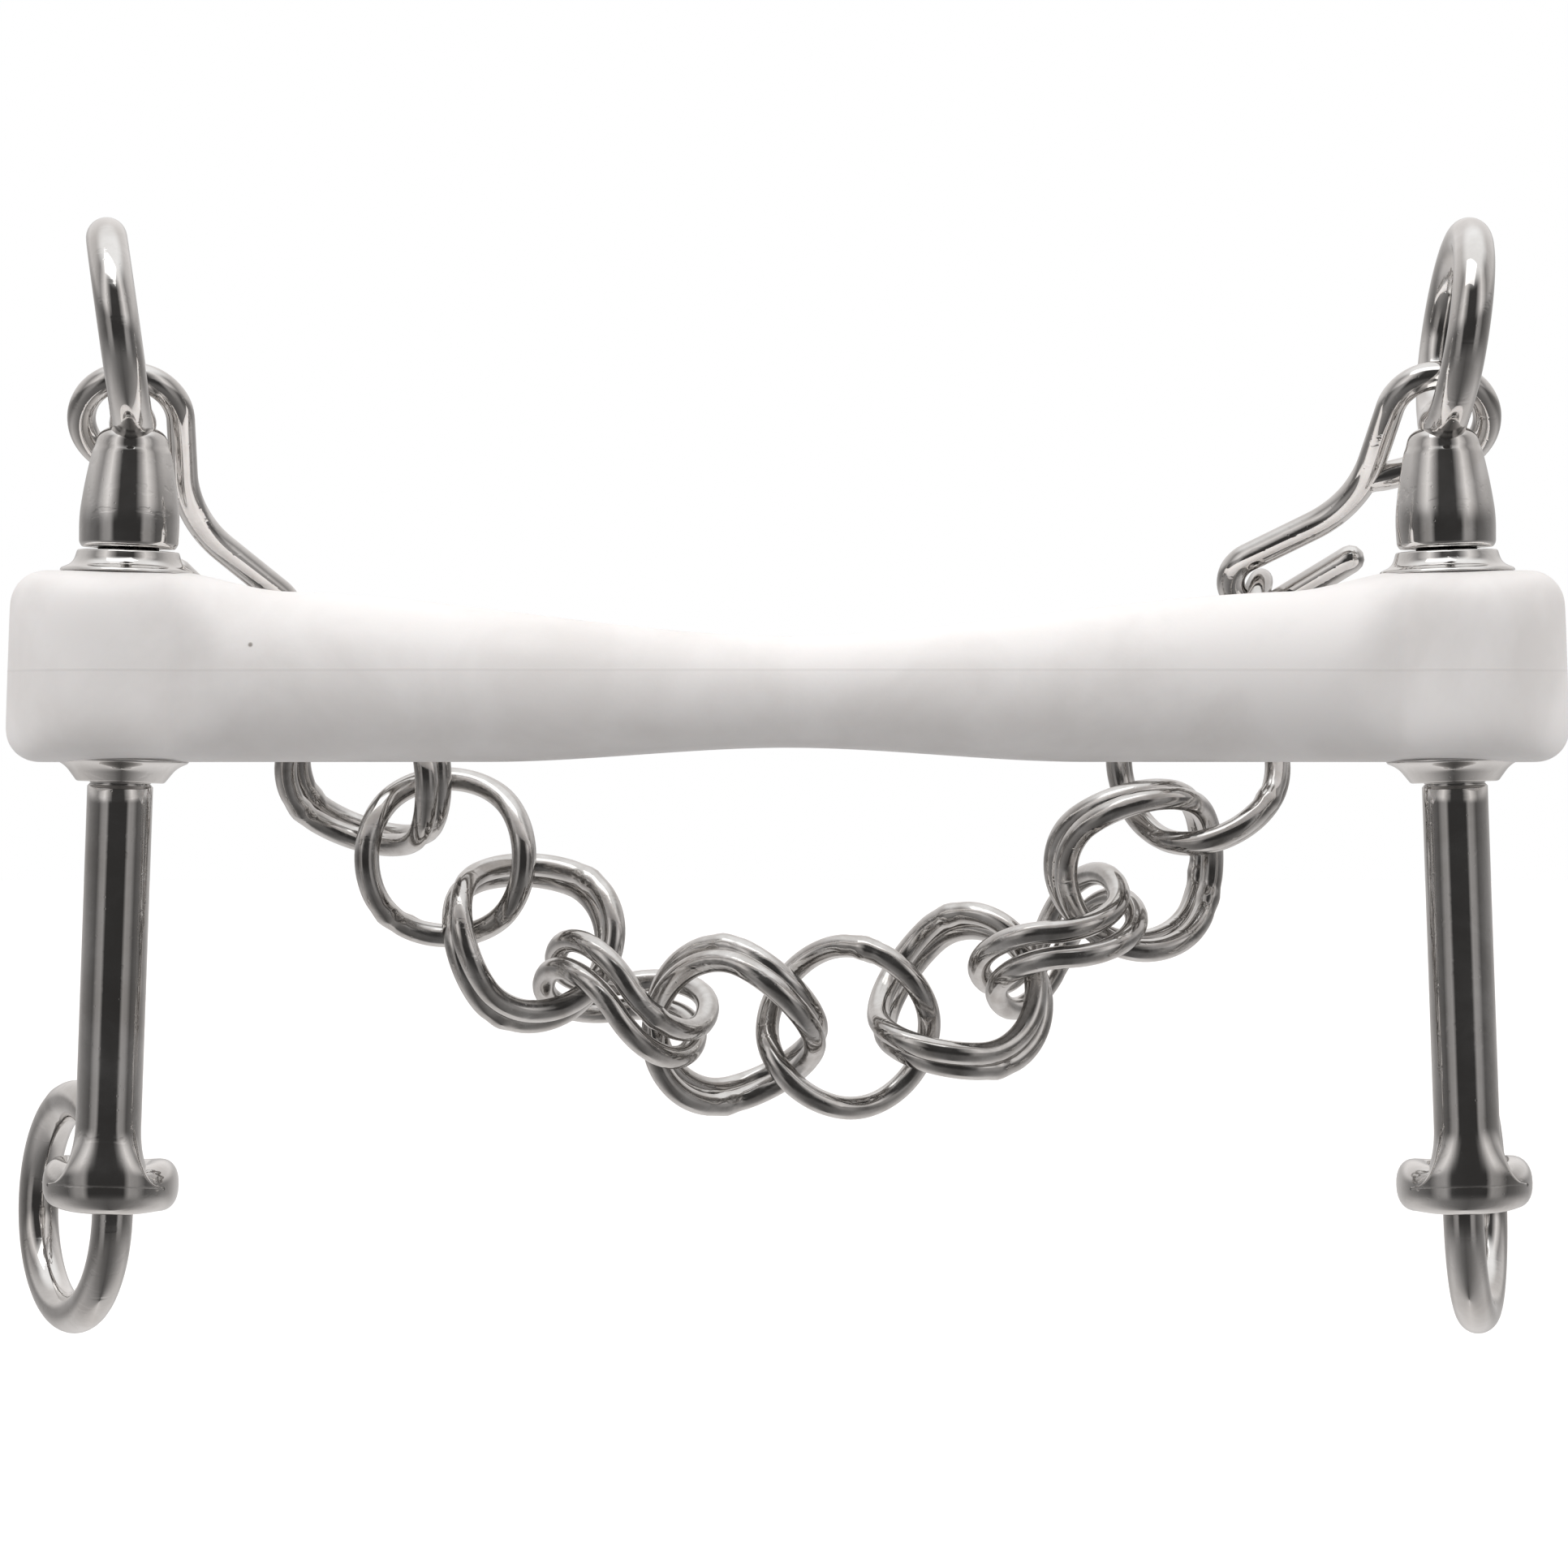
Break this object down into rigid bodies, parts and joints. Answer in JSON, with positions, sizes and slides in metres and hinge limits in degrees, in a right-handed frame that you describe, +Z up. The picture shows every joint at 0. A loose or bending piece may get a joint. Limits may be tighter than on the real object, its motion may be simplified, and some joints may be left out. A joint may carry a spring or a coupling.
{
  "type": "curb bit",
  "caption": "Curb bit with a smooth moulded bar mouth, turning cheeks with bridle eyes and loose rein rings, curb hooks and a hanging double-link curb chain.",
  "frame": {"origin": "on the mouthpiece, midway between the two cheek axes and at half the height of the bosses", "axes": "+X along the mouthpiece to the right as seen from the front, +Y backward toward the chain, +Z up toward the bridle eyes"},
  "size_m": [0.1801, 0.0461, 0.1287],
  "materials": {
    "mouthpiece_plastic": "satin moulded",
    "polished_steel": "mirror polished stainless steel",
    "chain_steel": "tumble polished stainless steel",
    "core_steel": "as drawn"
  },
  "bodies": {
    "mouthpiece": {"mouthpiece_body": "mouthpiece_plastic", "core_bar": "core_steel", "left_sleeve": "core_steel", "right_sleeve": "core_steel", "left_upper_flange": "polished_steel", "left_lower_flange": "polished_steel", "right_upper_flange": "polished_steel", "right_lower_flange": "polished_steel"},
    "left_cheek": {"left_upper_cheek": "polished_steel", "left_shank": "polished_steel"},
    "left_rein_ring": {"left_rein_ring": "polished_steel"},
    "left_hook": {"left_curb_hook": "polished_steel"},
    "right_cheek": {"right_upper_cheek": "polished_steel", "right_shank": "polished_steel"},
    "right_rein_ring": {"right_rein_ring": "polished_steel"},
    "right_hook": {"right_curb_hook": "polished_steel"},
    "chain": {"chain_end_ring_left": "chain_steel", "chain_end_ring_right": "chain_steel"},
    "chain_pair_01": {"chain_link_01a": "chain_steel", "chain_link_01b": "chain_steel"},
    "chain_pair_02": {"chain_link_02a": "chain_steel", "chain_link_02b": "chain_steel"},
    "chain_pair_03": {"chain_link_03a": "chain_steel", "chain_link_03b": "chain_steel"},
    "chain_pair_04": {"chain_link_04a": "chain_steel", "chain_link_04b": "chain_steel"},
    "chain_pair_05": {"chain_link_05a": "chain_steel", "chain_link_05b": "chain_steel"},
    "chain_pair_06": {"chain_link_06a": "chain_steel", "chain_link_06b": "chain_steel"},
    "chain_pair_07": {"chain_link_07a": "chain_steel", "chain_link_07b": "chain_steel"},
    "chain_pair_08": {"chain_link_08a": "chain_steel", "chain_link_08b": "chain_steel"},
    "chain_pair_09": {"chain_link_09a": "chain_steel", "chain_link_09b": "chain_steel"},
    "chain_pair_10": {"chain_link_10a": "chain_steel", "chain_link_10b": "chain_steel"}
  },
  "joints": [
    {"name": "left_cheek_swivel", "type": "hinge", "parent": "mouthpiece", "child": "left_cheek", "pos_m": [-0.07565, 0, 0], "axis": [0.0349, 0, 0.9994], "range_deg": [-4, 4]},
    {"name": "left_rein_ring_swivel", "type": "hinge", "parent": "left_cheek", "child": "left_rein_ring", "pos_m": [-0.07773, 0.007, -0.05956], "axis": [0, 0, 1], "range_deg": [-106, 54]},
    {"name": "right_cheek_swivel", "type": "hinge", "parent": "mouthpiece", "child": "right_cheek", "pos_m": [0.07565, 0, 0], "axis": [-0.0349, 0, 0.9994], "range_deg": [-4, 4]},
    {"name": "right_rein_ring_swivel", "type": "hinge", "parent": "right_cheek", "child": "right_rein_ring", "pos_m": [0.07773, 0.007, -0.05956], "axis": [0, 0, -1], "range_deg": [-92, 68]},
    {"name": "left_hook_swing", "type": "hinge", "parent": "mouthpiece", "child": "left_hook", "pos_m": [-0.07618, 0, 0.03818], "axis": [1, 0, 0], "range_deg": [0, 20]},
    {"name": "right_hook_swing", "type": "hinge", "parent": "mouthpiece", "child": "right_hook", "pos_m": [0.07618, 0, 0.03818], "axis": [1, 0, 0], "range_deg": [0, 20]},
    {"name": "chain_swing", "type": "hinge", "parent": "left_hook", "child": "chain", "pos_m": [-0.06002, 0.02138, 0.00396], "axis": [0.9994, -0.0173, 0.0288], "range_deg": [-5, 30]},
    {"name": "pair_01_roll", "type": "hinge", "parent": "chain", "child": "chain_pair_01", "pos_m": [-0.04866, 0.0212, -0.01196], "axis": [0.6182, -0.0134, -0.7859], "range_deg": [-4, 4]},
    {"name": "pair_02_roll", "type": "hinge", "parent": "chain", "child": "chain_pair_02", "pos_m": [-0.0399, 0.02102, -0.02209], "axis": [0.6901, -0.0135, -0.7236], "range_deg": [-4, 4]},
    {"name": "pair_03_roll", "type": "hinge", "parent": "chain", "child": "chain_pair_03", "pos_m": [-0.03024, 0.02084, -0.03128], "axis": [0.7859, -0.0135, -0.6182], "range_deg": [-4, 4]},
    {"name": "pair_04_roll", "type": "hinge", "parent": "chain", "child": "chain_pair_04", "pos_m": [-0.01897, 0.02066, -0.03855], "axis": [0.9139, -0.0136, -0.4057], "range_deg": [-4, 4]},
    {"name": "pair_05_roll", "type": "hinge", "parent": "chain", "child": "chain_pair_05", "pos_m": [-0.00611, 0.02048, -0.04199], "axis": [0.9917, -0.0137, -0.1281], "range_deg": [-4, 4]},
    {"name": "pair_06_roll", "type": "hinge", "parent": "chain", "child": "chain_pair_06", "pos_m": [0.00712, 0.0203, -0.04192], "axis": [0.9909, -0.0137, 0.1336], "range_deg": [-4, 4]},
    {"name": "pair_07_roll", "type": "hinge", "parent": "chain", "child": "chain_pair_07", "pos_m": [0.01992, 0.02012, -0.03848], "axis": [0.9259, -0.0136, 0.3775], "range_deg": [-4, 4]},
    {"name": "pair_08_roll", "type": "hinge", "parent": "chain", "child": "chain_pair_08", "pos_m": [0.03154, 0.01994, -0.03197], "axis": [0.8099, -0.0136, 0.5864], "range_deg": [-4, 4]},
    {"name": "pair_09_roll", "type": "hinge", "parent": "chain", "child": "chain_pair_09", "pos_m": [0.04134, 0.01976, -0.02297], "axis": [0.6175, -0.0136, 0.7864], "range_deg": [-4, 4]},
    {"name": "pair_10_roll", "type": "hinge", "parent": "chain", "child": "chain_pair_10", "pos_m": [0.04782, 0.01958, -0.01123], "axis": [0.4084, -0.0135, 0.9127], "range_deg": [-4, 4]}
  ],
  "couplings": [
    {"joint": "right_hook_swing", "follows": "left_hook_swing", "ratio": 1}
  ]
}
